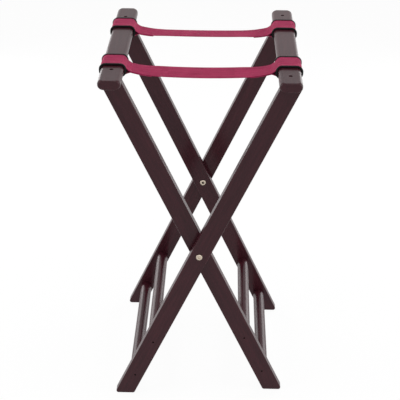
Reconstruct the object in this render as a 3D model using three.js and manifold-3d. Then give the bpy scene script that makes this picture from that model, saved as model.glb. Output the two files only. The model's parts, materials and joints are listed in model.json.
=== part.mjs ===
// A folding stand: two crossed wooden frames that turn on one pivot line, a rail across the top of each,
// and two webbing straps that join the rails and stop the frames from opening further.
// Millimetres. X is across the rails, Y along them and Z up; the pivot line is x = 0 and the floor is z = 0.
import * as THREE from "three";
import { mergeVertices } from "three/addons/utils/BufferGeometryUtils.js";
import Module from "manifold-3d";

const wasm = await Module();
wasm.setup();

// Overall sizes
const standHeight = 787; // floor to the top of the rails
const pivotHeight = 371.5;
const legAngle = THREE.MathUtils.degToRad(24.75); // from upright, with the stand open
const outerLegSpacing = 372; // between the centres of the two outer legs
const foldAngle = THREE.MathUtils.degToRad(38); // from open to folded, which sets how the straps hang

// Legs
const legWidth = 40;
const legThickness = 20;
const legEase = 1.8; // rounding of the long edges
const footCorner = 5; // rounding of the foot's two corners

// Rails
const railLength = 450;
const railWidth = 46;
const railThickness = 20;
const railCorner = 8.5;
const railEndEase = 2;
const legTrim = 3.3; // how far a leg's top corner is cut back, flush with the rail's outer face

// Rungs, round bars let into the legs
const rungDiameter = 27;
const rungChamfer = 1;
const rungSocket = 12;
const rungOffset = 1.5; // from the leg's centre line, towards the inside of the stand
const rungSegments = 28;
const upperRungReach = 249; // from the pivot line, along the leg
const lowerRungReach = 351;

// Fasteners
const nailDiameter = 3;
const nailHead = 3.8;
const nailHeadHeight = 1.2;
const nailLength = 24;
const nailSink = 0.6;
const screwDiameter = 4;
const screwHead = 7.2;
const screwHeadHeight = 2.6;
const screwLength = 34;
const screwSink = 8; // depth of the hole over a rail screw's head

// Pivots
const pivotGap = 3; // between an outer and an inner leg
const washerDiameter = 22;
const barrelDiameter = 8;
const barrelBore = 5.6;
const pivotHead = 14;
const pivotHeadHeight = 2.2;
const pivotScrewDiameter = 5;
const pivotScrewLength = 28;
const pivotSocket = 4.6; // the key socket in a pivot screw's head
const pivotSocketDepth = 1;

// Straps and the moulded collars that hold them in line
const strapSpacing = 230;
const strapWidth = 50;
const strapThickness = 1.5;
const strapSag = 4;
const lapStart = 36; // where the two plies meet, from the rail's centre
const lapEnd = 78; // where the sewn lap ends, from the rail's centre
const strapDrop = 9; // from the rail's centre line down to the lap
const strapHinge = new THREE.Vector2(23, 11); // where a slack strap bends: in from the rail's centre, and down
const collarBase = 1.2;
const collarRim = 3;
const collarRise = 5; // from the rail's surface to the top of a rim
const collarEase = 0.8;

// Clearances
const clearance = 0.3; // between touching pieces
const sideClearance = 0.5; // beside a strap, in its collar
const overlap = 0.01; // of solids that are joined or cut

// Sizes that follow
const lean = Math.tan(legAngle);
const railBase = standHeight - railThickness;
const railCentreZ = railBase + railThickness / 2;
const legHalfSpan = legWidth / 2 / Math.cos(legAngle); // half a leg's width, measured level
const railOuterX = (railBase - pivotHeight) * lean + legHalfSpan - legTrim;
const railX = railOuterX - railWidth / 2;
const outerLegY = outerLegSpacing / 2;
const innerLegY = outerLegY - legThickness - pivotGap;
const strapY = strapSpacing / 2;
const collarWidth = strapWidth + 2 * sideClearance + 2 * collarRim;
const loopInside = collarBase + 2 * clearance; // from the rail's surface to a strap's inner face

const wood = { color: 0x3b2428, roughness: 0.3, metalness: 0 };
const nylon = { color: 0x101010, roughness: 0.25, metalness: 0 };
const webbing = { color: 0xab3d60, roughness: 0.85, metalness: 0 };
const brass = { color: 0xc8bba8, roughness: 0.35, metalness: 1 };
const steel = { color: 0x4a4744, roughness: 0.45, metalness: 1 };

// A closed three.js geometry as a solid to cut or join.
function solid(geometry) {
  const bare = geometry.clone();
  bare.deleteAttribute("normal");
  bare.deleteAttribute("uv");
  const merged = mergeVertices(bare, 1e-4);
  return new wasm.Manifold(
    new wasm.Mesh({
      numProp: 3,
      vertProperties: merged.attributes.position.array,
      triVerts: new Uint32Array(merged.index.array),
    }),
  );
}

function geometryOf(made) {
  const { vertProperties, triVerts } = made.getMesh();
  const geometry = new THREE.BufferGeometry();
  geometry.setAttribute("position", new THREE.BufferAttribute(vertProperties, 3));
  geometry.setIndex(new THREE.BufferAttribute(triVerts, 1));
  const flat = geometry.toNonIndexed();
  flat.computeVertexNormals();
  return flat;
}

function cut(geometry, ...tools) {
  return geometryOf(tools.reduce((left, tool) => left.subtract(solid(tool)), solid(geometry)));
}

function join(first, ...others) {
  return geometryOf(others.reduce((sum, other) => sum.add(solid(other)), solid(first)));
}

function piece(name, geometry, look, x = 0, y = 0, z = 0) {
  const mesh = new THREE.Mesh(geometry, new THREE.MeshStandardMaterial(look));
  mesh.name = name;
  mesh.position.set(x, y, z);
  return mesh;
}

// An outline in the XZ plane, made as long as width along Y and centred on it, with its end edges eased.
function prism(outline, width, ease = 0, segments = 5) {
  const geometry = new THREE.ExtrudeGeometry(outline, {
    depth: width - 2 * ease,
    bevelEnabled: ease > 0,
    bevelThickness: ease,
    bevelSize: ease,
    bevelOffset: -ease,
    bevelSegments: 3,
    curveSegments: segments,
  });
  geometry.translate(0, 0, ease - width / 2);
  return geometry.rotateX(Math.PI / 2);
}

// A closed profile of [radius, height] pairs turned round the Y axis.
function turned(profile, segments = 20) {
  return new THREE.LatheGeometry(
    profile.map(([r, h]) => new THREE.Vector2(r, h)),
    segments,
  );
}

function rod(diameter, from, to, segments = 20) {
  const r = diameter / 2;
  return turned(
    [
      [0, from],
      [r, from],
      [r, to],
      [0, to],
    ],
    segments,
  );
}

// A rung's centre, from the pivot line, at a distance along the leg below it.
function rungPlace(reach) {
  return new THREE.Vector2(rungOffset, -reach).rotateAround(new THREE.Vector2(), -legAngle);
}

function slab(width, depth, height, x, y, z) {
  return new THREE.BoxGeometry(width, depth, height).translate(x, y, z);
}

// A rectangle with round corners, grown all round by offset.
function roundedRectangle(width, height, corner, offset = 0) {
  const x = width / 2 - corner;
  const z = height / 2 - corner;
  const r = corner + offset;
  const outline = new THREE.Shape();
  outline.absarc(x, z, r, 0, Math.PI / 2);
  outline.absarc(-x, z, r, Math.PI / 2, Math.PI);
  outline.absarc(-x, -z, r, Math.PI, 1.5 * Math.PI);
  outline.absarc(x, -z, r, 1.5 * Math.PI, 2 * Math.PI);
  outline.closePath();
  return outline;
}

// A leg of a frame whose rail is at +X, with the pivot line through the leg's own origin. outward is the Y
// direction of its outer face.
function leg(outward) {
  const top = railBase - clearance - pivotHeight;
  const foot = -pivotHeight;
  const edge = (z, way) => [z * lean + way * legHalfSpan, z];
  const round = foot + footCorner;
  const inset = legHalfSpan - footCorner / Math.cos(legAngle);
  const outline = new THREE.Shape();
  outline.moveTo(...edge(top + legWidth, 1));
  outline.lineTo(...edge(top + legWidth, -1));
  outline.absarc(round * lean - inset, round, footCorner, Math.PI - legAngle, 1.5 * Math.PI);
  outline.absarc(round * lean + inset, round, footCorner, 1.5 * Math.PI, 2 * Math.PI - legAngle);
  outline.closePath();

  const overTop = slab(4 * legWidth, 2 * legThickness, 2 * legWidth, railX, 0, top + legWidth);
  const pastRail = slab(legWidth, 2 * legThickness, 2 * legWidth, railOuterX + legWidth / 2, 0, top);
  const pivotHole = rod(barrelDiameter + 2 * clearance, -legThickness, legThickness);
  const screwHole = rod(screwDiameter + 2 * clearance, -screwLength, legWidth)
    .rotateX(Math.PI / 2)
    .translate(railX, 0, top);
  const rungCuts = [upperRungReach, lowerRungReach].flatMap((reach) => {
    const at = rungPlace(reach);
    const innerFace = (-outward * legThickness) / 2;
    const nailHole = rod(nailHead + 2 * clearance, -legThickness, legThickness);
    const socket = rod(rungDiameter + 2 * clearance, -rungSocket, rungSocket, rungSegments);
    return [nailHole.translate(at.x, 0, at.y), socket.translate(at.x, innerFace, at.y)];
  });
  return cut(prism(outline, legThickness, legEase, 4), overTop, pastRail, pivotHole, screwHole, ...rungCuts);
}

// A rail, about its own centre, with a stepped screw hole over each of its legs.
function rail(legY) {
  const holes = [-legY, legY].flatMap((y) => [
    rod(screwHead + 2 * clearance, railThickness / 2 - screwSink, railThickness).rotateX(Math.PI / 2),
    rod(screwDiameter + 2 * clearance, -railThickness, railThickness).rotateX(Math.PI / 2),
  ].map((hole) => hole.translate(0, y, 0)));
  const outline = roundedRectangle(railWidth, railThickness, railCorner);
  return cut(prism(outline, railLength, railEndEase), ...holes);
}

// A wood screw, upright, with the underside of its head at z = 0.
function railScrew() {
  const r = screwDiameter / 2;
  const tip = screwDiameter;
  const recess = screwHead / 4;
  return turned([
    [0, -screwLength],
    [r, tip - screwLength],
    [r, 0],
    [screwHead / 2, 0],
    [screwHead / 2, screwHeadHeight],
    [recess, screwHeadHeight],
    [recess, screwHeadHeight / 2],
    [0, screwHeadHeight / 2],
  ]).rotateX(Math.PI / 2);
}

// A round bar between two legs whose centres stand at legY, bored at each end for its nail.
function rung(legY) {
  const end = legY - legThickness / 2 + rungSocket - clearance;
  const r = rungDiameter / 2;
  const bore = nailDiameter / 2 + clearance;
  const blind = end - nailLength;
  return turned(
    [
      [0, -blind],
      [bore, -blind],
      [bore, -end],
      [r - rungChamfer, -end],
      [r, rungChamfer - end],
      [r, end - rungChamfer],
      [r - rungChamfer, end],
      [bore, end],
      [bore, blind],
      [0, blind],
    ],
    rungSegments,
  );
}

// A nail, driven from its head at y = 0 towards +Y.
function rungNail() {
  const r = nailDiameter / 2;
  return turned(
    [
      [0, 0],
      [nailHead / 2, 0],
      [nailHead / 2, nailHeadHeight],
      [r, nailHeadHeight + clearance],
      [r, nailLength - nailDiameter],
      [0, nailLength],
    ],
    16,
  );
}

// The screw that joins two legs, its head's seat at y = 0 and its shank towards +Y.
function pivotScrew() {
  const r = pivotHead / 2;
  const h = pivotHeadHeight;
  return turned([
    [0, pivotSocketDepth - h],
    [pivotSocket / 2, pivotSocketDepth - h],
    [pivotSocket / 2, -h],
    [r - h, -h],
    [r - h / 3, -h / 1.5],
    [r, 0],
    [pivotScrewDiameter / 2, 0],
    [pivotScrewDiameter / 2, pivotScrewLength],
    [0, pivotScrewLength],
  ]);
}

// The sleeve that the legs turn on, its head's seat at y = 0 and its tube towards -Y.
function pivotBarrel() {
  const r = pivotHead / 2;
  const h = pivotHeadHeight;
  const length = 2 * legThickness + pivotGap - clearance;
  return turned([
    [barrelBore / 2, -length],
    [barrelDiameter / 2, -length],
    [barrelDiameter / 2, 0],
    [r, 0],
    [r - h / 3, h / 1.5],
    [r - h, h],
    [barrelBore / 2, h],
    [barrelBore / 2, -length],
  ]);
}

function pivotWasher() {
  const h = pivotGap / 2 - clearance;
  const bore = barrelDiameter / 2 + clearance;
  return turned([
    [bore, -h],
    [washerDiameter / 2, -h],
    [washerDiameter / 2, h],
    [bore, h],
    [bore, -h],
  ]);
}

// A moulded ring round a rail, with a rim on each side of the strap, about the rail's centre.
function collar() {
  const ring = (offset, width, ease) =>
    prism(roundedRectangle(railWidth, railThickness, railCorner, offset), width, ease);
  const rimY = (collarWidth - collarRim) / 2;
  const rims = [-rimY, rimY].map((y) => ring(collarRise, collarRim, collarEase).translate(0, y, 0));
  const body = join(ring(clearance + collarBase, collarWidth - collarRim, 0), ...rims);
  return cut(body, ring(clearance, 2 * collarWidth, 0));
}

// Where a straight ply from a point meets a round corner that it runs on to, as an angle about the corner's centre.
function tangentAngle(point, centre, radius, turn) {
  const away = point.clone().sub(centre);
  return away.angle() + turn * Math.acos(radius / away.length());
}

// The outline of a strap's loop at one distance from the rail, closed at a tip that points to -X.
function loopOutline(offset, tipX, tipRise) {
  const cornerX = railWidth / 2 - railCorner;
  const cornerZ = railThickness / 2 - railCorner;
  const r = railCorner + offset;
  const low = new THREE.Vector2(tipX, -strapDrop - tipRise);
  const high = new THREE.Vector2(tipX, -strapDrop + tipRise);
  const bottom = tangentAngle(low, new THREE.Vector2(-cornerX, -cornerZ), r, 1);
  const top = tangentAngle(high, new THREE.Vector2(-cornerX, cornerZ), r, -1);
  const outline = new THREE.Shape();
  outline.moveTo(high.x, high.y);
  outline.lineTo(low.x, low.y);
  outline.absarc(-cornerX, -cornerZ, r, bottom, 1.5 * Math.PI);
  outline.absarc(cornerX, -cornerZ, r, 1.5 * Math.PI, 2 * Math.PI);
  outline.absarc(cornerX, cornerZ, r, 0, Math.PI / 2);
  outline.absarc(-cornerX, cornerZ, r, Math.PI / 2, top);
  outline.closePath();
  return outline;
}

// A strap's loop round its collar and the right-hand rail, about the rail's centre. It ends where its plies meet.
function strapLoop() {
  const outline = loopOutline(loopInside + strapThickness, -lapStart, strapThickness);
  const inside = loopOutline(loopInside, 2 * strapThickness - lapStart, overlap);
  return cut(prism(outline, strapWidth), prism(inside, 2 * strapWidth));
}

// The height of a strap's underside at x, with the strap taut between the rails.
function strapUnderside(x) {
  const reach = railX - lapStart;
  return railCentreZ - strapDrop - strapThickness - strapSag * (1 - (x / reach) ** 2);
}

// A length of strap from one x to another, with its lower ply as far as the lap's end.
function strapLength(from, to, lapTo = from) {
  const steps = 8;
  const side = Math.sign(to - from);
  const at = (a, b, n, rise) => {
    const x = a + ((b - a) * n) / steps;
    return new THREE.Vector2(x, strapUnderside(x) + rise);
  };
  const ply = (a, b, low, high) => {
    const ends = [...Array(steps + 1).keys()];
    const under = ends.map((n) => at(a, b, n, low));
    const over = ends.map((n) => at(a, b, n, high)).reverse();
    return prism(new THREE.Shape(side > 0 ? [...under, ...over] : [...over, ...under]), strapWidth);
  };
  const main = ply(from, to, strapThickness, 2 * strapThickness);
  return lapTo === from ? main : join(main, ply(from, lapTo, 0, strapThickness + overlap));
}

// The straps' bends: how far a slack strap hangs from each rail when the stand is folded, and where its halves meet.
function strapBends() {
  const hinge = new THREE.Vector2(railX - strapHinge.x, railCentreZ - strapHinge.y - pivotHeight);
  const moved = new THREE.Vector2(
    -hinge.x * Math.cos(foldAngle) + hinge.y * Math.sin(foldAngle),
    hinge.x * Math.sin(foldAngle) + hinge.y * Math.cos(foldAngle),
  );
  const across = hinge.x - moved.x;
  const raised = moved.y - hinge.y;
  const hanging = 2 * hinge.x - across;
  const left = (hanging + raised) / 2 - hinge.x;
  const right = hinge.x - (hanging - raised) / 2;
  return { left, right, middle: (left + right) / 2 };
}

// A frame with its rail at +X. ends names its legs, the one towards -Y first.
function woodenFrame(frameName, railName, legY, ends) {
  const group = new THREE.Group();
  group.add(piece(railName, rail(legY), wood, railX, 0, railCentreZ));
  ends.forEach((end, n) => {
    const outward = n === 0 ? -1 : 1;
    const y = outward * legY;
    const seat = standHeight - screwSink + clearance;
    group.add(piece(`${frameName}_leg_${end}`, leg(outward), wood, 0, y, pivotHeight));
    group.add(piece(`${railName}_screw_${end}`, railScrew(), steel, railX, y, seat));
  });
  for (const [level, reach] of [["upper", upperRungReach], ["lower", lowerRungReach]]) {
    const at = rungPlace(reach);
    const z = pivotHeight + at.y;
    group.add(piece(`${frameName}_rung_${level}`, rung(legY), wood, at.x, 0, z));
    ends.forEach((end, n) => {
      const outward = n === 0 ? -1 : 1;
      const y = outward * (legY + legThickness / 2 - nailSink);
      const nail = piece(`${frameName}_nail_${level}_${end}`, rungNail(), steel, at.x, y, z);
      nail.rotation.z = outward > 0 ? Math.PI : 0;
      group.add(nail);
    });
  }
  return group;
}

function pivots() {
  const group = new THREE.Group();
  for (const [end, outward] of [["front", -1], ["back", 1]]) {
    const pivot = new THREE.Group();
    pivot.rotation.z = outward > 0 ? Math.PI : 0;
    pivot.position.z = pivotHeight;
    const outerFace = -outerLegY - legThickness / 2;
    const innerFace = -innerLegY + legThickness / 2;
    pivot.add(piece(`pivot_screw_${end}`, pivotScrew(), brass, 0, outerFace - clearance));
    pivot.add(piece(`pivot_barrel_${end}`, pivotBarrel(), brass, 0, innerFace + clearance));
    pivot.add(piece(`pivot_washer_${end}`, pivotWasher(), steel, 0, -(outerLegY + innerLegY) / 2));
    group.add(pivot);
  }
  return group;
}

function straps() {
  const group = new THREE.Group();
  const bends = strapBends();
  const half = clearance / 2;
  for (const [end, y] of [["front", -strapY], ["back", strapY]]) {
    for (const [name, side, bend] of [["left", -1, bends.left], ["right", 1, bends.right]]) {
      const held = new THREE.Group();
      held.position.set(side * railX, y, railCentreZ);
      held.rotation.z = side > 0 ? 0 : Math.PI;
      held.add(piece(`${name}_collar_${end}`, collar(), nylon));
      held.add(piece(`${name}_strap_loop_${end}`, strapLoop(), webbing));
      const start = side * (railX - lapStart - clearance);
      const drop = strapLength(start, bend + side * half, side * (railX - lapEnd));
      const turn = strapLength(bend - side * half, bends.middle + side * half);
      group.add(held);
      group.add(piece(`${name}_strap_drop_${end}`, drop, webbing, 0, y));
      group.add(piece(`${name}_strap_turn_${end}`, turn, webbing, 0, y));
    }
  }
  return group;
}

const stand = new THREE.Group();
stand.add(woodenFrame("outer", "right_rail", outerLegY, ["front", "back"]));
const innerFrame = woodenFrame("inner", "left_rail", innerLegY, ["back", "front"]);
innerFrame.rotation.z = Math.PI;
stand.add(innerFrame);
stand.add(pivots());
stand.add(straps());

export default stand;
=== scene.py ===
# A folding stand for a case or a tray: two crossed wooden frames on one pivot line, with a rail across
# the top of each and two straps of webbing between the rails. Metres; X is across the rails, Y along
# them, Z up.
import json
import math

import bmesh
import bpy
from mathutils import Matrix, Vector


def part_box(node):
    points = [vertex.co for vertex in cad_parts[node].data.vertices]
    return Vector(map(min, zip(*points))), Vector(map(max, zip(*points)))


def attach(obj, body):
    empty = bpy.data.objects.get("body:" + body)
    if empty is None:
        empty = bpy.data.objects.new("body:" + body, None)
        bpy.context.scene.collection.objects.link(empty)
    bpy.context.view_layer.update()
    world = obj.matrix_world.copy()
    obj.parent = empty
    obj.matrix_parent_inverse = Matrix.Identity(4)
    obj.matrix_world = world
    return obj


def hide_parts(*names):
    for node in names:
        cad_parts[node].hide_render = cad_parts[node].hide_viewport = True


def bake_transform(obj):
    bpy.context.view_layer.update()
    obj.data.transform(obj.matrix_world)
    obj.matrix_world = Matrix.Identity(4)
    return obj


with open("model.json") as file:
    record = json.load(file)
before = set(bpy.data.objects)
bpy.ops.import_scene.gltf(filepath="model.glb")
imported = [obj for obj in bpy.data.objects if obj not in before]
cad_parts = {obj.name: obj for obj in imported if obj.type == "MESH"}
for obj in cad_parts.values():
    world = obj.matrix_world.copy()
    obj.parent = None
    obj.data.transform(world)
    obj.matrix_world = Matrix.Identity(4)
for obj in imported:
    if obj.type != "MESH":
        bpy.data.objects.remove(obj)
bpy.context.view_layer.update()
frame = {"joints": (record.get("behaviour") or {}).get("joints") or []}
scene = bpy.context.scene
scene.view_settings.view_transform = "Standard"


# ---- Camera ----
# A long lens at eye height, a step back from the stand and looking down on it, aimed at the middle of its
# height and turned very slightly on its axis.
CAMERA_PLACE = Vector((0.0441, -2.1256, 1.5561))
CAMERA_AIM = Vector((-0.0034, 0.0, 0.4057))
CAMERA_LENS = 94.6
CAMERA_ROLL = 0.006

camera = bpy.data.objects.new("camera", bpy.data.cameras.new("camera"))
camera.data.lens = CAMERA_LENS
camera.data.sensor_width = 36
camera.location = CAMERA_PLACE
turn = (CAMERA_AIM - CAMERA_PLACE).to_track_quat("-Z", "Y")
camera.rotation_euler = (turn.to_matrix() @ Matrix.Rotation(CAMERA_ROLL, 3, "Z")).to_euler()
scene.collection.objects.link(camera)
scene.camera = camera


# ---- Studio ----
# A white room: wide soft lights over the stand, at both sides, in front and behind, and a pale floor that
# runs out of sight. Seen or mirrored, the floor and the room are white, and the floor keeps a faint
# shadow.
class Field:
    """One output of a shader node, as a term in an expression."""

    def __init__(self, finish, socket):
        self.finish = finish
        self.socket = socket

    def __add__(self, other):
        return self.finish.math("ADD", self, other)

    def __radd__(self, other):
        return self.finish.math("ADD", other, self)

    def __sub__(self, other):
        return self.finish.math("SUBTRACT", self, other)

    def __rsub__(self, other):
        return self.finish.math("SUBTRACT", other, self)

    def __mul__(self, other):
        return self.finish.math("MULTIPLY", self, other)

    def __rmul__(self, other):
        return self.finish.math("MULTIPLY", other, self)

    def __pow__(self, other):
        return self.finish.math("POWER", self, other)

    def within(self, low, high):
        """0 below low, 1 above high, and smooth between them."""
        return self.finish.node(
            "MapRange",
            {"Value": self, "From Min": low, "From Max": high},
            interpolation_type="SMOOTHSTEP",
        )


class Finish:
    """A node tree, of a material or of the world, whose nodes are written as expressions."""

    def __init__(self, owner):
        owner.use_nodes = True
        self.owner = owner
        self.tree = owner.node_tree
        self.tree.nodes.clear()

    def node(self, kind, sockets=None, output=0, stops=None, **settings):
        made = self.tree.nodes.new("ShaderNode" + kind)
        for name, value in settings.items():
            setattr(made, name, value)
        if stops:
            ramp = made.color_ramp.elements
            while len(ramp) < len(stops):
                ramp.new(1)
            for stop, (place, colour) in zip(ramp, stops):
                stop.position = place
                stop.color = colour
        for name, value in (sockets or {}).items():
            if isinstance(value, Field):
                self.tree.links.new(value.socket, made.inputs[name])
            else:
                made.inputs[name].default_value = value
        return Field(self, made.outputs[output])

    def math(self, operation, a, b):
        return self.node("Math", {0: a, 1: b}, operation=operation)

    def mix(self, share, a, b):
        return self.node("Mix", {0: share, 6: a, 7: b}, output=2, data_type="RGBA")

    def scaled(self, vector, factors):
        return self.node("VectorMath", {0: vector, 1: factors}, operation="MULTIPLY")

    def noise(self, vector, scale, detail=2.0, roughness=0.5):
        sockets = {"Vector": vector, "Scale": scale, "Detail": detail, "Roughness": roughness}
        return self.node("TexNoise", sockets)

    def backdrop_rays(self):
        """1 where the camera sees this, directly, mirrored or through something clear, and 0 as light."""
        seen = self.node("LightPath", output="Is Camera Ray")
        mirrored = self.node("LightPath", output="Is Glossy Ray")
        through = self.node("LightPath", output="Is Transmission Ray")
        return self.node("Math", {0: seen + mirrored, 1: through}, operation="ADD", use_clamp=True)

    def surface(self, shader):
        kind = "OutputWorld" if isinstance(self.owner, bpy.types.World) else "OutputMaterial"
        end = self.tree.nodes.new("ShaderNode" + kind)
        self.tree.links.new(shader.socket, end.inputs["Surface"])


def srgb(code):
    """A web colour such as 3b2428, as the linear colour that a shader takes."""
    parts = [int(code[n : n + 2], 16) / 255 for n in (0, 2, 4)]
    linear = [p / 12.92 if p <= 0.04045 else ((p + 0.055) / 1.055) ** 2.4 for p in parts]
    return (*linear, 1.0)


ROOM_LIGHT = 0.5  # the room's own light on the stand
FLOOR_HALF = 15.0  # half the side of the square floor
FLOOR_GAP = 0.0005  # from the feet down to it
FLOOR_WHITE = 0.93  # how much of the floor's look is plain white, and not its lit surface
WHITE = (1, 1, 1, 1)

room = Finish(bpy.data.worlds.new("room"))
scene.world = room.owner
lighting = room.node("Background", {"Color": WHITE, "Strength": ROOM_LIGHT})
backdrop = room.node("Background", {"Color": WHITE, "Strength": 1.0})
room.surface(room.node("MixShader", {0: room.backdrop_rays(), 1: lighting, 2: backdrop}))

floor_finish = Finish(bpy.data.materials.new("floor"))
matt = floor_finish.node("BsdfDiffuse", {"Color": (0.95, 0.95, 0.95, 1)})
plain = floor_finish.node("Emission", {"Color": WHITE, "Strength": 1.0})
share = floor_finish.backdrop_rays() * FLOOR_WHITE
floor_finish.surface(floor_finish.node("MixShader", {0: share, 1: matt, 2: plain}))

floor_mesh = bpy.data.meshes.new("floor")
square = [(-1, -1), (1, -1), (1, 1), (-1, 1)]
floor_corners = [(x * FLOOR_HALF, y * FLOOR_HALF, -FLOOR_GAP) for x, y in square]
floor_mesh.from_pydata(floor_corners, [], [(0, 1, 2, 3)])
floor_mesh.materials.append(floor_finish.owner)
floor = bpy.data.objects.new("floor", floor_mesh)
scene.collection.objects.link(floor)


def soft_light(name, place, aim, size, power):
    """A square lamp that faces a point: its side in metres and its power in watts."""
    lamp = bpy.data.lights.new(name, "AREA")
    lamp.shape = "SQUARE"
    lamp.size = size
    lamp.energy = power
    light = bpy.data.objects.new(name, lamp)
    light.location = place
    light.rotation_euler = (Vector(aim) - Vector(place)).to_track_quat("-Z", "Y").to_euler()
    scene.collection.objects.link(light)


PIVOT_LINE = (0, 0, 0.4)
AT_THE_RUNGS = (0, 0, 0.2)
soft_light("overhead", (0, 0.3, 3.0), PIVOT_LINE, 2.2, 20)
soft_light("behind_left", (-1.4, 1.5, 0.6), AT_THE_RUNGS, 1.1, 12)
soft_light("behind_right", (1.4, 1.5, 0.6), AT_THE_RUNGS, 1.1, 12)
soft_light("left", (-3.0, -0.7, 1.5), PIVOT_LINE, 2.0, 30)
soft_light("right", (3.0, -0.7, 1.5), PIVOT_LINE, 2.0, 30)
soft_light("front", (0.5, -3.2, 2.6), PIVOT_LINE, 1.6, 19)


# ---- Wood ----
# Close-grained hardwood, stained dark mahogany and sprayed with a clear gloss lacquer. The stain is
# redder where the grain is open, and fine pores show through the lacquer as short dents.
def laid_grain(piece, origin, along, seed):
    """Gives a wooden piece its grain: each point's place along, across and through the board."""
    along = Vector(along).normalized()
    across = along.cross(Vector((0, 1, 0)))
    across = (across if across.length > 0.1 else Vector((1, 0, 0))).normalized()
    through = along.cross(across)
    shift = Vector((seed * 1.37, seed * 0.71, seed * 0.43))
    grain = piece.data.attributes.new("grain", "FLOAT_VECTOR", "POINT")
    for point, vertex in zip(grain.data, piece.data.vertices):
        place = vertex.co - Vector(origin)
        point.vector = Vector((place.dot(along), place.dot(across), place.dot(through))) + shift


def lacquered_wood():
    wood = Finish(bpy.data.materials.new("lacquered_wood"))
    grain = wood.node("Attribute", output="Vector", attribute_name="grain")
    drift = wood.noise(wood.scaled(grain, (2.2, 9, 9)), 1.0, 3)
    figure = wood.noise(wood.scaled(grain, (14, 190, 190)), 1.0, 5, 0.62)
    fibre = wood.noise(wood.scaled(grain, (60, 1500, 1500)), 1.0, 3, 0.6)
    pores = wood.noise(wood.scaled(grain, (140, 2600, 2600)), 1.0, 1).within(0.60, 0.72)
    tone = figure * 0.62 + drift * 0.38
    stain = wood.node(
        "ValToRGB",
        {"Fac": tone},
        stops=[(0.30, srgb("290c13")), (0.50, srgb("35121a")), (0.72, srgb("431a22"))],
    )
    colour = wood.mix(fibre.within(0.35, 0.75) * 0.35, stain, srgb("290d14"))
    colour = wood.mix(pores * 0.45, colour, srgb("16070a"))
    peel = wood.noise(wood.scaled(grain, (260, 420, 420)), 1.0, 2)
    height = peel * 0.35 + fibre * 0.25 - pores * 0.5
    bump = wood.node("Bump", {"Height": height, "Strength": 0.16, "Distance": 0.0004})
    shader = wood.node(
        "BsdfPrincipled",
        {
            "Base Color": colour,
            "Roughness": fibre * 0.12 + 0.34,
            "Specular IOR Level": 0.08,
            "Coat Weight": 0.33,
            "Coat Roughness": 0.16,
            "Normal": bump,
        },
    )
    wood.surface(shader)
    return wood.owner


WOOD = lacquered_wood()


def make(name, points, faces, material):
    """A mesh object from points and faces, smooth but for its sharp edges."""
    mesh = bpy.data.meshes.new(name)
    mesh.from_pydata([tuple(p) for p in points], [], faces)
    mesh.validate()
    mesh.materials.append(material)
    piece = bpy.data.objects.new(name, mesh)
    scene.collection.objects.link(piece)
    shade(piece)
    return piece


def shade(piece):
    """Turns a piece's faces outwards, and keeps the edges between steeply joined faces sharp."""
    form = bmesh.new()
    form.from_mesh(piece.data)
    bmesh.ops.recalc_face_normals(form, faces=form.faces)
    form.to_mesh(piece.data)
    form.free()
    piece.data.shade_smooth()
    piece.data.set_sharp_from_angle(angle=math.radians(35))


def skin(name, rings, material, caps=(True, True), endless=False):
    """A surface through rings of as many points each, closed at its two ends or joined end to end."""
    count = len(rings[0])
    points = [p for ring in rings for p in ring]
    pairs = [(n, n + 1) for n in range(len(rings) - 1)]
    if endless:
        pairs.append((len(rings) - 1, 0))
    faces = [
        (a * count + k, a * count + (k + 1) % count, b * count + (k + 1) % count, b * count + k)
        for a, b in pairs
        for k in range(count)
    ]
    if caps[0] and not endless:
        faces.append(tuple(range(count)))
    if caps[1] and not endless:
        faces.append(tuple(reversed(range(len(points) - count, len(points)))))
    return make(name, points, faces, material)


def baked(piece):
    """Applies a piece's modifiers to its mesh."""
    bpy.context.view_layer.update()
    graph = bpy.context.evaluated_depsgraph_get()
    mesh = bpy.data.meshes.new_from_object(piece.evaluated_get(graph))
    piece.modifiers.clear()
    piece.data = mesh


def drill(piece, *bits):
    """Cuts each bit out of a piece, and keeps its flat faces flat in the shading."""
    for bit in bits:
        hole = piece.modifiers.new("hole", "BOOLEAN")
        hole.object = bit
        hole.solver = "EXACT"
        baked(piece)
        bpy.data.objects.remove(bit)
    shade(piece)
    flats = piece.modifiers.new("flats", "WEIGHTED_NORMAL")
    flats.keep_sharp = True
    flats.weight = 100
    baked(piece)


def turned(name, profile, material, place, axis, steps=48):
    """A profile of (radius, height) points turned round an axis through place.

    The profile starts and ends on the axis, or both its ends are joined and leave a bore.
    """
    turn = Vector((0, 0, 1)).rotation_difference(Vector(axis)).to_matrix()
    place = Vector(place)
    on_axis = profile[0][0] == 0
    count = len(profile)
    bands = count - 1 if on_axis else count
    points = []
    faces = []
    for k in range(steps):
        a = 2 * math.pi * k / steps
        points += [place + turn @ Vector((r * math.cos(a), r * math.sin(a), h)) for r, h in profile]
        n = (k + 1) % steps
        for j in range(bands):
            i = (j + 1) % count
            faces.append((k * count + j, n * count + j, n * count + i, k * count + i))
    piece = make(name, points, faces, material)
    form = bmesh.new()
    form.from_mesh(piece.data)
    bmesh.ops.remove_doubles(form, verts=form.verts, dist=1e-6)
    form.to_mesh(piece.data)
    form.free()
    shade(piece)
    return piece


def bit(radius, place, axis, reach):
    """A round cutter that runs reach each way from a place."""
    profile = [(0, -reach), (radius, -reach), (radius, reach), (0, reach)]
    return turned("bit", profile, WOOD, place, axis, 40)


def middle(node):
    """A CAD node's centre."""
    low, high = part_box(node)
    return (low + high) / 2


def extent(node):
    """A CAD node's size along X, Y and Z."""
    low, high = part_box(node)
    return high - low


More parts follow.
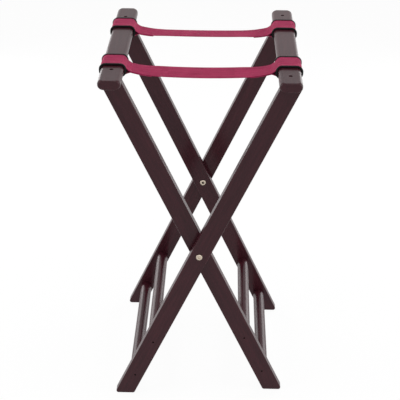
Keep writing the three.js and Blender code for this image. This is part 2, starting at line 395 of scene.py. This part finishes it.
# ---- Rails ----
# A flat bar of hardwood across the top of each frame, its long edges moulded round and the corners of its
# ends sanded off. A wood screw goes down through it into each leg, in the bottom of a stepped hole.
RAIL_CORNER = 0.0085
RAIL_END_CORNER = 0.0075  # rounding of an end's corners, seen from above
RAIL_END_EASE = 0.0018
SCREW_HOLE = 0.0039  # radius
SCREW_SINK = 0.008  # depth of the wide part of its hole
SCREW_PILOT = 0.0023  # radius of the narrow part
THROUGH = 0.03  # reach of a bit that goes right through a bar

SIDES = {"right": ("outer", 1), "left": ("inner", -1)}
rail_size = extent("right_rail")
rail_centre = middle("right_rail")


def bar_outline(half_width, half_height, corner, steps=9):
    """Points (x, z) round a bar's section."""
    points = []
    for n, (sx, sz) in enumerate([(1, 1), (-1, 1), (-1, -1), (1, -1)]):
        for k in range(steps):
            a = (n + k / (steps - 1)) * math.pi / 2
            x = sx * (half_width - corner) + corner * math.cos(a)
            z = sz * (half_height - corner) + corner * math.sin(a)
            points.append((x, z))
    return points


def rail(name, side):
    """A rail with its ends rounded, seen from above and along their edges, and its two stepped holes."""
    half = rail_size / 2
    steps = 10
    ends = []
    for k in range(steps + 1):
        a = k / steps * math.pi / 2
        back = RAIL_END_CORNER * (1 - math.cos(a))
        inset = RAIL_END_CORNER * (1 - math.sin(a))
        shallow = max(0.0, RAIL_END_EASE - back)
        ease = RAIL_END_EASE - math.sqrt(RAIL_END_EASE**2 - shallow**2)
        ends.append((half.y - back, inset, ease))
    stations = [(-y, inset, ease) for y, inset, ease in ends] + list(reversed(ends))
    rings = []
    for y, inset, ease in stations:
        outline = bar_outline(half.x - inset, half.z - ease, RAIL_CORNER - ease)
        rings.append([Vector((side * rail_centre.x + x, y, rail_centre.z + z)) for x, z in outline])
    piece = skin(name, rings, WOOD)
    bits = []
    for end in ("front", "back"):
        at = middle(f"{name}_screw_{end}")
        top = rail_centre.z + half.z
        bits.append(bit(SCREW_HOLE, (at.x, at.y, top), (0, 0, 1), SCREW_SINK))
        bits.append(bit(SCREW_PILOT, (at.x, at.y, rail_centre.z), (0, 0, 1), THROUGH))
    drill(piece, *bits)
    laid_grain(piece, (side * rail_centre.x, 0, rail_centre.z), (0, 1, 0), 3 + side)
    return piece


for word, (body, side) in SIDES.items():
    piece = rail(f"{word}_rail", side)
    piece.name = f"{word}_rail_wood"
    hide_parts(f"{word}_rail")
    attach(piece, f"{body}_frame")


# ---- Legs ----
# Four flat bars of the same wood, eased along their edges and cut level at the foot and under the rail.
# The outer pair carries the right-hand rail and the inner pair the left-hand one.
LEG_WIDTH = 0.040
LEG_EASE = 0.0018
FOOT_CORNER = 0.005
PIVOT_HOLE = 0.0043  # radius
NAIL_HOLE = 0.0022  # radius
PILOT_DEPTH = 0.034  # of a rail screw's hole in a leg's top
RUNG_SLIP = 0.0003  # from a rung to its blind hole's wall

pivot_height = frame["joints"][0]["pos_m"][2]
rung_step = middle("outer_rung_upper") - middle("outer_rung_lower")
lean = math.atan2(rung_step.x, rung_step.z)
rail_outer = rail_centre.x + rail_size.x / 2


def leg_outline(ease, top):
    """Points (x, z) round the face of a leg that leans to +X, drawn in by ease at all its long edges."""
    slope = math.tan(lean)
    span = (LEG_WIDTH / 2 - ease) / math.cos(lean)
    corner = FOOT_CORNER - ease
    round_z = ease + corner
    inset = span - corner / math.cos(lean)
    trim = rail_outer - ease
    points = [((top - pivot_height) * slope - span, top)]
    steps = 6
    for way, first, last in ((-1, math.pi - lean, 1.5 * math.pi), (1, 1.5 * math.pi, 2 * math.pi - lean)):
        for k in range(steps + 1):
            a = first + (last - first) * k / steps
            x = (round_z - pivot_height) * slope + way * inset
            points.append((x + corner * math.cos(a), round_z + corner * math.sin(a)))
    points.append((trim, pivot_height + (trim - span) / slope))
    points.append((trim, top))
    return points


def leg(word, body, side, end):
    """A leg of one frame, with its holes for the pivot, the rail's screw, the rungs and their nails."""
    name = f"{body}_leg_{end}"
    y = middle(name).y
    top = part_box(name)[1].z
    half = extent(name).y / 2
    steps = 5
    rings = []
    for k in range(2 * steps + 2):
        n = min(k, 2 * steps + 1 - k)
        a = n / steps * math.pi / 2
        ease = LEG_EASE * (1 - math.sin(a))
        depth = half - LEG_EASE * (1 - math.cos(a))
        at = y + (-depth if k <= steps else depth)
        rings.append([Vector((side * x, at, z)) for x, z in leg_outline(ease, top)])
    piece = skin(name + "_wood", rings, WOOD)
    bits = [bit(PIVOT_HOLE, (0, y, pivot_height), (0, 1, 0), THROUGH)]
    screw = middle(f"{word}_rail_screw_{end}")
    bits.append(bit(SCREW_PILOT, (screw.x, y, top), (0, 0, 1), PILOT_DEPTH))
    for level in ("upper", "lower"):
        rung = middle(f"{body}_rung_{level}")
        rung_half = extent(f"{body}_rung_{level}") / 2
        bits.append(bit(rung_half.z + RUNG_SLIP, (rung.x, 0, rung.z), (0, 1, 0), rung_half.y + RUNG_SLIP))
        bits.append(bit(NAIL_HOLE, (rung.x, y, rung.z), (0, 1, 0), THROUGH))
    drill(piece, *bits)
    along = (side * math.sin(lean), 0, math.cos(lean))
    laid_grain(piece, (0, y, pivot_height), along, 11 * side + 40 * y)
    return piece


for word, (body, side) in SIDES.items():
    for end in ("front", "back"):
        node = f"{body}_leg_{end}"
        piece = leg(word, body, side, end)
        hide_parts(node)
        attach(piece, f"{body}_frame")


# ---- Rungs ----
# Round bars, turned from the same wood and chamfered at their ends, glued into blind holes in the legs. A
# nail through each leg goes into the bore in a rung's end.
RUNG_CHAMFER = 0.001
RUNG_BORE = 0.0018  # radius
RUNG_BORE_DEPTH = 0.024

for word, (body, side) in SIDES.items():
    for n, level in enumerate(("upper", "lower")):
        node = f"{body}_rung_{level}"
        centre = middle(node)
        radius = extent(node).z / 2
        half = extent(node).y / 2
        shoulder = half - RUNG_CHAMFER
        face = radius - RUNG_CHAMFER
        blind = half - RUNG_BORE_DEPTH
        profile = [(0, -blind), (RUNG_BORE, -blind), (RUNG_BORE, -half), (face, -half)]
        profile += [(radius, -shoulder), (radius, -half / 3), (radius, half / 3), (radius, shoulder)]
        profile += [(face, half), (RUNG_BORE, half), (RUNG_BORE, blind), (0, blind)]
        piece = turned(node + "_wood", profile, WOOD, centre, (0, 1, 0), 56)
        laid_grain(piece, centre, (0, 1, 0), 23 + 5 * n + 2 * side)
        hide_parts(node)
        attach(piece, f"{body}_frame")


# ---- Screws and nails ----
# Blackened steel: a wood screw at the bottom of each hole in the rails, and a nail at each end of each
# rung, set just below the leg's face. A spacer washer sits between the legs at each pivot.
def metal(name, colour, dull, worn):
    """Metal with fine brushed lines, and duller in patches by the share worn."""
    finish = Finish(bpy.data.materials.new(name))
    place = finish.node("TexCoord", output="Object")
    patches = finish.noise(place, 900, 3)
    lines = finish.noise(finish.scaled(place, (6000, 900, 6000)), 1.0, 2)
    tint = finish.mix(patches.within(0.35, 0.7) * worn, srgb(colour), srgb(dull))
    bump = finish.node("Bump", {"Height": lines, "Strength": 0.08, "Distance": 0.0002})
    shader = finish.node(
        "BsdfPrincipled",
        {"Base Color": tint, "Metallic": 1.0, "Roughness": patches * 0.2 + 0.22, "Normal": bump},
    )
    finish.surface(shader)
    return finish.owner


STEEL = metal("black_steel", "191716", "0c0b0b", 0.8)


def driven(node, profile, axis, material, body):
    """A fastener whose top, the profile's highest point, is flush with its node's end along the axis."""
    axis = Vector(axis)
    top = middle(node) + Vector((way * half for way, half in zip(axis, extent(node) / 2)))
    reach = max(height for _, height in profile)
    piece = turned(node + "_metal", profile, material, top - axis * reach, axis)
    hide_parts(node)
    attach(piece, body)


SCREW_SHANK = 0.002  # radius
SCREW_POINT = 0.0008  # radius where the point begins
SCREW_TAPER = 0.002  # length of the point
SCREW_PLAIN = 0.010  # length without thread, below the head
SCREW_PITCH = 0.0018
SCREW_ROOT = 0.78  # the thread's inner radius, as a share of the shank's
SCREW_HEAD = 0.0026  # height
NAIL_SHANK = 0.0015  # radius
NAIL_TAPER = 0.003  # length of the point
NAIL_HEAD = 0.0012  # height
WASHER_BORE = 0.0043  # radius
WASHER_EASE = 0.0004


def screw_profile(head, whole):
    """A pan-head wood screw with a round recess, from its head's radius and its length over all."""
    length = whole - SCREW_HEAD
    taper = SCREW_TAPER - length
    first = taper + 0.001
    turns = round((-SCREW_PLAIN - first) / SCREW_PITCH)
    rise = (-SCREW_PLAIN - first) / turns
    points = [(0, -length), (SCREW_POINT, taper)]
    for n in range(turns):
        foot = first + rise * n
        points += [(SCREW_SHANK * SCREW_ROOT, foot), (SCREW_SHANK, foot + rise / 2)]
    points += [(SCREW_SHANK, 0.0005 - SCREW_PLAIN), (SCREW_SHANK, 0), (head, 0), (head, SCREW_HEAD * 0.6)]
    points += [(head - 0.0005, SCREW_HEAD), (head / 2, SCREW_HEAD)]
    return points + [(head / 2 - 0.0002, SCREW_HEAD / 2), (0, SCREW_HEAD / 2)]


def nail_profile(head, length):
    """A flat-headed nail with its edge rounded, the top of the head at height 0."""
    points = [(0, -length), (NAIL_SHANK, NAIL_TAPER - length), (NAIL_SHANK, -NAIL_HEAD - 0.0002)]
    return points + [(head, -NAIL_HEAD), (head, -0.0003), (head - 0.0004, 0), (0, 0)]


for word, (body, side) in SIDES.items():
    for end in ("front", "back"):
        node = f"{word}_rail_screw_{end}"
        size = extent(node)
        driven(node, screw_profile(size.x / 2, size.z), (0, 0, 1), STEEL, f"{body}_frame")
        for level in ("upper", "lower"):
            node = f"{body}_nail_{level}_{end}"
            size = extent(node)
            outwards = (0, 1 if end == "back" else -1, 0)
            driven(node, nail_profile(size.z / 2, size.y), outwards, STEEL, f"{body}_frame")

for end in ("front", "back"):
    node = f"pivot_washer_{end}"
    half = extent(node).y / 2
    rim = extent(node).z / 2
    eased_rim = rim - WASHER_EASE
    shoulder = half - WASHER_EASE
    profile = [(WASHER_BORE, -half), (eased_rim, -half), (rim, -shoulder), (rim, shoulder)]
    profile += [(eased_rim, half), (WASHER_BORE, half)]
    driven(node, profile, (0, 1, 0), STEEL, "outer_frame")


# ---- Pivots ----
# A pale brass screw through each pair of legs, its domed head with a round key socket on the outer leg,
# and the headed sleeve that it draws up to, whose head stands on the inner leg's inner face.
BRASS = metal("pale_brass", "cdc0b0", "8a7a68", 0.5)
DOME_HEIGHT = 0.0022
DOME_WALL = 0.25  # share of that which is the upright edge
DOME_SWEEP = math.radians(72)  # how far its curve turns
PIVOT_SHANK = 0.0025  # radius
PIVOT_CHAMFER = 0.0012
KEY_SOCKET = 0.0025  # radius
KEY_DEPTH = 0.0016
KEY_FLOOR = 0.0013  # depth at the middle of the socket's floor
SLEEVE = 0.004  # radius
SLEEVE_BORE = 0.0028  # radius
SLEEVE_MOUTH = 0.0012  # depth of the bore's smooth mouth


def dome(radius, socket, depth):
    """The top of a domed head with a round socket, from its rim at height 0 to the socket's floor."""
    points = [(radius, 0), (radius, DOME_HEIGHT * DOME_WALL)]
    for k in range(1, 7):
        a = k / 6 * DOME_SWEEP
        inset = DOME_HEIGHT * 1.6 * (1 - math.cos(a))
        rise = DOME_WALL + (1 - DOME_WALL) * math.sin(a) / math.sin(DOME_SWEEP)
        points.append((radius - inset, DOME_HEIGHT * rise))
    points += [(socket + 0.0002, DOME_HEIGHT), (socket, DOME_HEIGHT - 0.0002)]
    return points + [(socket, DOME_HEIGHT - depth)]


for end, way in (("front", -1), ("back", 1)):
    node = f"pivot_screw_{end}"
    size = extent(node)
    foot = DOME_HEIGHT - size.y
    profile = [(0, foot), (PIVOT_SHANK * 0.7, foot), (PIVOT_SHANK, foot + PIVOT_CHAMFER)]
    profile += [(PIVOT_SHANK, 0)] + dome(size.z / 2, KEY_SOCKET, KEY_DEPTH)
    profile.append((0, DOME_HEIGHT - KEY_FLOOR))
    driven(node, profile, (0, way, 0), BRASS, "outer_frame")
    node = f"pivot_barrel_{end}"
    size = extent(node)
    foot = DOME_HEIGHT - size.y
    profile = [(SLEEVE_BORE, foot), (SLEEVE, foot), (SLEEVE, 0)]
    profile += dome(size.z / 2, SLEEVE_BORE, SLEEVE_MOUTH)
    driven(node, profile, (0, -way, 0), BRASS, "outer_frame")


# ---- Collars ----
# Four rings of black moulded plastic, slid on to the rails. Each has a low channel for the strap, and a
# rounded rim on both sides that keeps the strap in line.
def moulded_plastic():
    plastic = Finish(bpy.data.materials.new("moulded_plastic"))
    place = plastic.node("TexCoord", output="Object")
    mottle = plastic.noise(place, 60, 2)
    grit = plastic.noise(place, 1400, 3)
    colour = plastic.mix(mottle.within(0.3, 0.7), srgb("080808"), srgb("131213"))
    bump = plastic.node("Bump", {"Height": grit, "Strength": 0.12, "Distance": 0.0003})
    shader = plastic.node(
        "BsdfPrincipled",
        {
            "Base Color": colour,
            "Roughness": grit * 0.15 + 0.2,
            "Specular IOR Level": 0.14,
            "Normal": bump,
        },
    )
    plastic.surface(shader)
    return plastic.owner


PLASTIC = moulded_plastic()
COLLAR_SLIP = 0.0003  # from the rail to the collar's inside
COLLAR_BASE = 0.0012  # thickness under the strap
COLLAR_RIM = 0.003  # thickness along the rail
COLLAR_RISE = 0.005  # from the rail to the rims' tops
COLLAR_EASE = 0.0005
COLLAR_FILLET = 0.0006  # in the channel's corners


def round_the_rail(side, steps=14):
    """Centres of a rail's rounded corners, each with a direction out of the rail, as (x, z) pairs."""
    half_x = rail_size.x / 2 - RAIL_CORNER
    half_z = rail_size.z / 2 - RAIL_CORNER
    stations = []
    for n, (sx, sz) in enumerate([(1, 1), (-1, 1), (-1, -1), (1, -1)]):
        for k in range(steps):
            a = (n + k / (steps - 1)) * math.pi / 2
            centre = (side * rail_centre.x + sx * half_x, rail_centre.z + sz * half_z)
            stations.append((centre, (math.cos(a), math.sin(a))))
    return stations


def collar_section(half_width):
    """Points (distance from the rail, place across) round a collar's section."""
    rim = COLLAR_RIM / 2
    base = COLLAR_SLIP + COLLAR_BASE
    channel = half_width - COLLAR_RIM
    eased_in = half_width - COLLAR_EASE
    section = [(COLLAR_SLIP, eased_in), (COLLAR_SLIP, -eased_in)]
    section.append((COLLAR_SLIP + COLLAR_EASE, -half_width))
    turns = [k / 8 * math.pi for k in range(9)]
    crown = [(COLLAR_RISE - rim + rim * math.sin(a), rim * math.cos(a)) for a in turns]
    section += [(out, rim - half_width - across) for out, across in crown]
    section += [(base + COLLAR_FILLET, -channel), (base, COLLAR_FILLET - channel)]
    section += [(base, channel - COLLAR_FILLET), (base + COLLAR_FILLET, channel)]
    section += [(out, half_width - rim - across) for out, across in crown]
    section.append((COLLAR_SLIP + COLLAR_EASE, half_width))
    return section


for word, (body, side) in SIDES.items():
    for end in ("front", "back"):
        node = f"{word}_collar_{end}"
        y = middle(node).y
        section = collar_section(extent(node).y / 2)
        rings = []
        for (x, z), (out_x, out_z) in round_the_rail(side):
            ring = []
            for away, across in section:
                r = RAIL_CORNER + away
                ring.append(Vector((x + out_x * r, y + across, z + out_z * r)))
            rings.append(ring)
        piece = skin(node + "_plastic", rings, PLASTIC, endless=True)
        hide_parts(node)
        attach(piece, f"{body}_frame")


# ---- Straps ----
# Two lengths of burgundy webbing, 50 mm wide and woven with fine ribs along it. Each end goes over a rail
# in its collar and back under it, and is sewn to the strap's underside with a box of heavy thread.
RIB_PITCH = 0.00135
PICK_PITCH = 0.0016


def webbing():
    cloth = Finish(bpy.data.materials.new("webbing"))
    weave = cloth.node("Attribute", output="Vector", attribute_name="weave")
    along = cloth.node("SeparateXYZ", {"Vector": weave}, output="X")
    across = cloth.node("SeparateXYZ", {"Vector": weave}, output="Y")
    ribs = cloth.node("Math", {0: across * (2 * math.pi / RIB_PITCH)}, operation="SINE")
    picks = cloth.node("Math", {0: along * (2 * math.pi / PICK_PITCH) + ribs * 1.4}, operation="SINE")
    streaks = cloth.noise(cloth.scaled(weave, (9, 420, 1)), 1.0, 4, 0.7)
    fade = cloth.noise(cloth.scaled(weave, (22, 45, 1)), 1.0, 3)
    fuzz = cloth.noise(cloth.scaled(weave, (2600, 2600, 1)), 1.0, 2)
    colour = cloth.mix(streaks.within(0.35, 0.65), srgb("8a2145"), srgb("ba3762"))
    colour = cloth.mix(fade.within(0.35, 0.75) * 0.4, colour, srgb("c4426b"))
    # Painted shade: the grooves between the ribs are darkened towards 5c102a, and random fuzz also darkens
    # the fibres a little.
    groove_shade = (1 - (ribs * 0.5 + 0.5)) ** 3
    colour = cloth.mix(groove_shade * 0.45 + fuzz * 0.15, colour, srgb("5c102a"))
    height = ribs * 0.6 + picks * 0.4 + fuzz * 0.5
    bump = cloth.node("Bump", {"Height": height, "Strength": 0.6, "Distance": 0.0004})
    shader = cloth.node(
        "BsdfPrincipled",
        {
            "Base Color": colour,
            "Roughness": 0.78,
            "Specular IOR Level": 0.15,
            "Sheen Weight": 0.1,
            "Sheen Roughness": 0.4,
            "Sheen Tint": srgb("e08aa4"),
            "Normal": bump,
        },
    )
    cloth.surface(shader)
    return cloth.owner


WEBBING = webbing()
STRAP_THICKNESS = 0.0015
PLY_GAP = 0.0001  # between the two plies of a lap
HALF_PLY = (STRAP_THICKNESS + PLY_GAP) / 2  # from a lap's middle to a ply's
PLY_OUT = COLLAR_BASE + 2 * COLLAR_SLIP + STRAP_THICKNESS / 2  # a ply's middle, from the rail's surface
LAP_START = 0.036  # from the rail's centre, inwards
LAP_END = {"front": 0.078, "back": 0.067}  # where the tail is cut off
STRAP_SEAM = 0.110  # where one mesh of a strap meets the next
STRAP_DROP = 0.009  # from the rail's centre line down to the lap
STRAP_SAG = {"front": 0.0055, "back": 0.0027}
KNEE = 0.0325  # where the strap's steep fall from the rail ends
TUCK = 0.003  # from there to where the lower ply leaves the lap
TUCK_WAY = Vector((-0.004, 0.001))  # how the lower ply sets off from the lap, in and up
LANDING = 0.006  # from the knee to where the upper ply meets the lap
LANDING_WAY = Vector((0.012, -0.003))  # how it arrives there
LEAVE = math.radians(30)  # where the upper ply leaves the rail's rounded edge, from level
LEAVE_PULL = 0.022  # how firmly it keeps its way as it leaves
LIFT = 0.0048  # how far the lap stands up near its collar
LIFT_REACH = 0.045
STRAP_TILT = 0.0016  # how far the outer edge hangs below the middle line between the rails
TILT_START = 0.040
TILT_RUN = 0.060
STRAP_HALF = extent("left_strap_drop_front").y / 2


def lap_height(q, end):
    """A strap's height from the rail's centre line, at a distance q in from the rail's centre."""
    reach = rail_centre.x - LAP_START
    near = max(0.0, 1 - (q - KNEE) / LIFT_REACH)
    return LIFT * near**2 - STRAP_DROP - STRAP_SAG[end] * (1 - ((rail_centre.x - q) / reach) ** 2)


def lap_line(first, last, steps, up, end):
    """Points along a strap, or a little up from it, between two distances in from the rail's centre."""
    places = [first + (last - first) * k / steps for k in range(steps + 1)]
    return [Vector((q, lap_height(q, end) + up)) for q in places]


def eased(a, b, from_way, to_way, steps):
    """Points on a smooth curve from a to b that leaves and arrives along the given directions."""
    points = []
    for k in range(steps + 1):
        t = k / steps
        first = (2 * t**3 - 3 * t**2 + 1) * a + (t**3 - 2 * t**2 + t) * from_way
        points.append(first + (3 * t**2 - 2 * t**3) * b + (t**3 - t**2) * to_way)
    return points


def end_route(end):
    """A strap's end from the tail's cut edge, round the rail and on: (inwards, up) from the rail's centre."""
    flat = rail_size.x / 2 - RAIL_CORNER
    rise = rail_size.z / 2 - RAIL_CORNER
    r = RAIL_CORNER + PLY_OUT
    route = lap_line(LAP_END[end], KNEE + TUCK, 14, -HALF_PLY, end)
    low = route[-1]
    away = low - Vector((flat, -rise))
    meet = math.atan2(away.y, away.x) - math.acos(r / away.length)
    touch = Vector((flat + r * math.cos(meet), r * math.sin(meet) - rise))
    route += eased(low, touch, TUCK_WAY, (touch - low) * 0.9, 10)[1:]
    corners = [
        (1, -1, meet, -math.pi / 2),
        (-1, -1, -math.pi / 2, -math.pi),
        (-1, 1, math.pi, math.pi / 2),
        (1, 1, math.pi / 2, LEAVE),
    ]
    for sx, sz, first, last in corners:
        for k in range(13):
            a = first + (last - first) * k / 12
            place = Vector((sx * flat + r * math.cos(a), sz * rise + r * math.sin(a)))
            if (place - route[-1]).length > 1e-6:
                route.append(place)
    upper = lap_line(KNEE + LANDING, STRAP_SEAM, 16, HALF_PLY, end)
    down = Vector((math.sin(LEAVE), -math.cos(LEAVE))) * LEAVE_PULL
    route += eased(route[-1], upper[0], down, LANDING_WAY, 20)[1:]
    return route + upper[1:]


def on_strap(side, y, q, z, v):
    """A place in the room from one on a strap: q in from its rail's centre, z up from it and v across."""
    t = min(max((q - TILT_START) / TILT_RUN, 0), 1)
    tilt = STRAP_TILT * t * t * (3 - 2 * t) * v / STRAP_HALF
    return Vector((side * (rail_centre.x - q), y + v, rail_centre.z + z - (tilt if y > 0 else -tilt)))


def band(name, route, side, y, caps):
    """A strip of webbing along a route, with rounded selvedges, and closed where caps says."""
    thick = STRAP_THICKNESS / 2
    flat = STRAP_HALF - thick
    across = 12
    places = [2 * flat * k / across - flat for k in range(across + 1)]
    edge = [math.pi / 2 * k / 3 for k in range(1, 6)]
    section = [(v, thick) for v in places]
    section += [(flat + thick * math.sin(a), thick * math.cos(a)) for a in edge]
    section += [(v, -thick) for v in reversed(places)]
    section += [(-flat - thick * math.sin(a), -thick * math.cos(a)) for a in edge]
    rings = []
    weave = []
    run = 0.0
    for n, point in enumerate(route):
        tangent = (route[min(n + 1, len(route) - 1)] - route[max(n - 1, 0)]).normalized()
        normal = Vector((-tangent.y, tangent.x))
        if n:
            run += (point - route[n - 1]).length
        ring = []
        for v, h in section:
            ring.append(on_strap(side, y, point.x + normal.x * h, point.y + normal.y * h, v))
            weave.append(Vector((run, v, 0)))
        rings.append(ring)
    piece = skin(name, rings, WEBBING, caps)
    attribute = piece.data.attributes.new("weave", "FLOAT_VECTOR", "POINT")
    for item, value in zip(attribute.data, weave):
        item.vector = value + Vector((side * 0.7, 0, 0))
    return piece


centre_x = (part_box("left_strap_turn_front")[1].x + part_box("right_strap_turn_front")[0].x) / 2

for word, (body, side) in SIDES.items():
    for end in ("front", "back"):
        y = middle(f"{word}_strap_loop_{end}").y
        held = band(f"{word}_strap_end_{end}", end_route(end), side, y, (True, False))
        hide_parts(f"{word}_strap_loop_{end}", f"{word}_strap_drop_{end}")
        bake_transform(held)
        far = rail_centre.x - side * centre_x
        line = lap_line(STRAP_SEAM, far, 30, HALF_PLY, end)
        loose = band(f"{word}_strap_middle_{end}", line, side, y, (False, False))
        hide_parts(f"{word}_strap_turn_{end}")
        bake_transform(loose)


# ---- Stitching ----
# Each lap is sewn through both plies with heavy burgundy thread: a box, a little in from the selvedges,
# and two lines from corner to corner.
def sewing_thread():
    thread = Finish(bpy.data.materials.new("sewing_thread"))
    place = thread.node("TexCoord", output="Object")
    twist = thread.noise(thread.scaled(place, (2600, 2600, 2600)), 1.0, 2)
    colour = thread.mix(twist.within(0.3, 0.7), srgb("7d1f40"), srgb("b04468"))
    bump = thread.node("Bump", {"Height": twist, "Strength": 0.3, "Distance": 0.0002})
    shader = thread.node(
        "BsdfPrincipled",
        {"Base Color": colour, "Roughness": 0.6, "Specular IOR Level": 0.25, "Normal": bump},
    )
    thread.surface(shader)
    return thread.owner


THREAD = sewing_thread()
THREAD_RADIUS = 0.00032
THREAD_SIDES = 6
STITCH = 0.0030  # from one needle hole to the next
STITCH_SHARE = 0.78  # how much of that the thread covers
# How far along a stitch, and how far out of the webbing, as shares of its length and of the thread's radius.
STITCH_RISE = [(0.0, -0.7), (0.12, 0.15), (0.3, 0.7), (0.7, 0.7), (0.88, 0.15), (1.0, -0.7)]
BOX_NEAR = 0.0425  # in from the rail's centre
BOX_MARGIN = 0.0035  # from the box to the tail's cut edge
BOX_HALF = STRAP_HALF - 0.004


def seam_runs(box_far):
    """The straight lines of a lap's sewing, as pairs of (inwards, across) points."""
    near_left = Vector((BOX_NEAR, -BOX_HALF))
    near_right = Vector((BOX_NEAR, BOX_HALF))
    far_left = Vector((box_far, -BOX_HALF))
    far_right = Vector((box_far, BOX_HALF))
    box = [(near_left, near_right), (near_right, far_right), (far_right, far_left), (far_left, near_left)]
    cross = [(near_left, far_right), (near_right, far_left)]
    return box + cross


def stitch(side, y, strap, face, first, last):
    """Rings of one stitch that rises out of the webbing, runs along its face and dives in again."""
    way = (last - first).normalized()
    rings = []
    for share, out in STITCH_RISE:
        at = first + (last - first) * share
        level = lap_height(at.x, strap) + face * (STRAP_THICKNESS + PLY_GAP / 2 + THREAD_RADIUS * out)
        ring = []
        for k in range(THREAD_SIDES):
            a = k / THREAD_SIDES * 2 * math.pi
            wide = THREAD_RADIUS * math.cos(a)
            high = THREAD_RADIUS * math.sin(a)
            ring.append(on_strap(side, y, at.x - way.y * wide, level + high, at.y + way.x * wide))
        rings.append(ring)
    return rings


for word, (body, side) in SIDES.items():
    for end in ("front", "back"):
        y = middle(f"{word}_strap_loop_{end}").y
        points = []
        faces = []
        for first, last in seam_runs(LAP_END[end] - BOX_MARGIN):
            count = round((last - first).length / STITCH)
            step = (last - first) / count
            for n in range(count):
                start = first + step * (n + (1 - STITCH_SHARE) / 2)
                for face in (1, -1):
                    rings = stitch(side, y, end, face, start, start + step * STITCH_SHARE)
                    for r, ring in enumerate(rings):
                        new = len(points)
                        old = new - THREAD_SIDES
                        points += ring
                        if r in (0, len(rings) - 1):
                            faces.append(tuple(range(new, new + THREAD_SIDES)))
                        if r == 0:
                            continue
                        for k in range(THREAD_SIDES):
                            after = (k + 1) % THREAD_SIDES
                            faces.append((old + k, old + after, new + after, new + k))
        sewn = make(f"{word}_strap_stitches_{end}", points, faces, THREAD)
        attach(sewn, f"{word}_strap_drop")
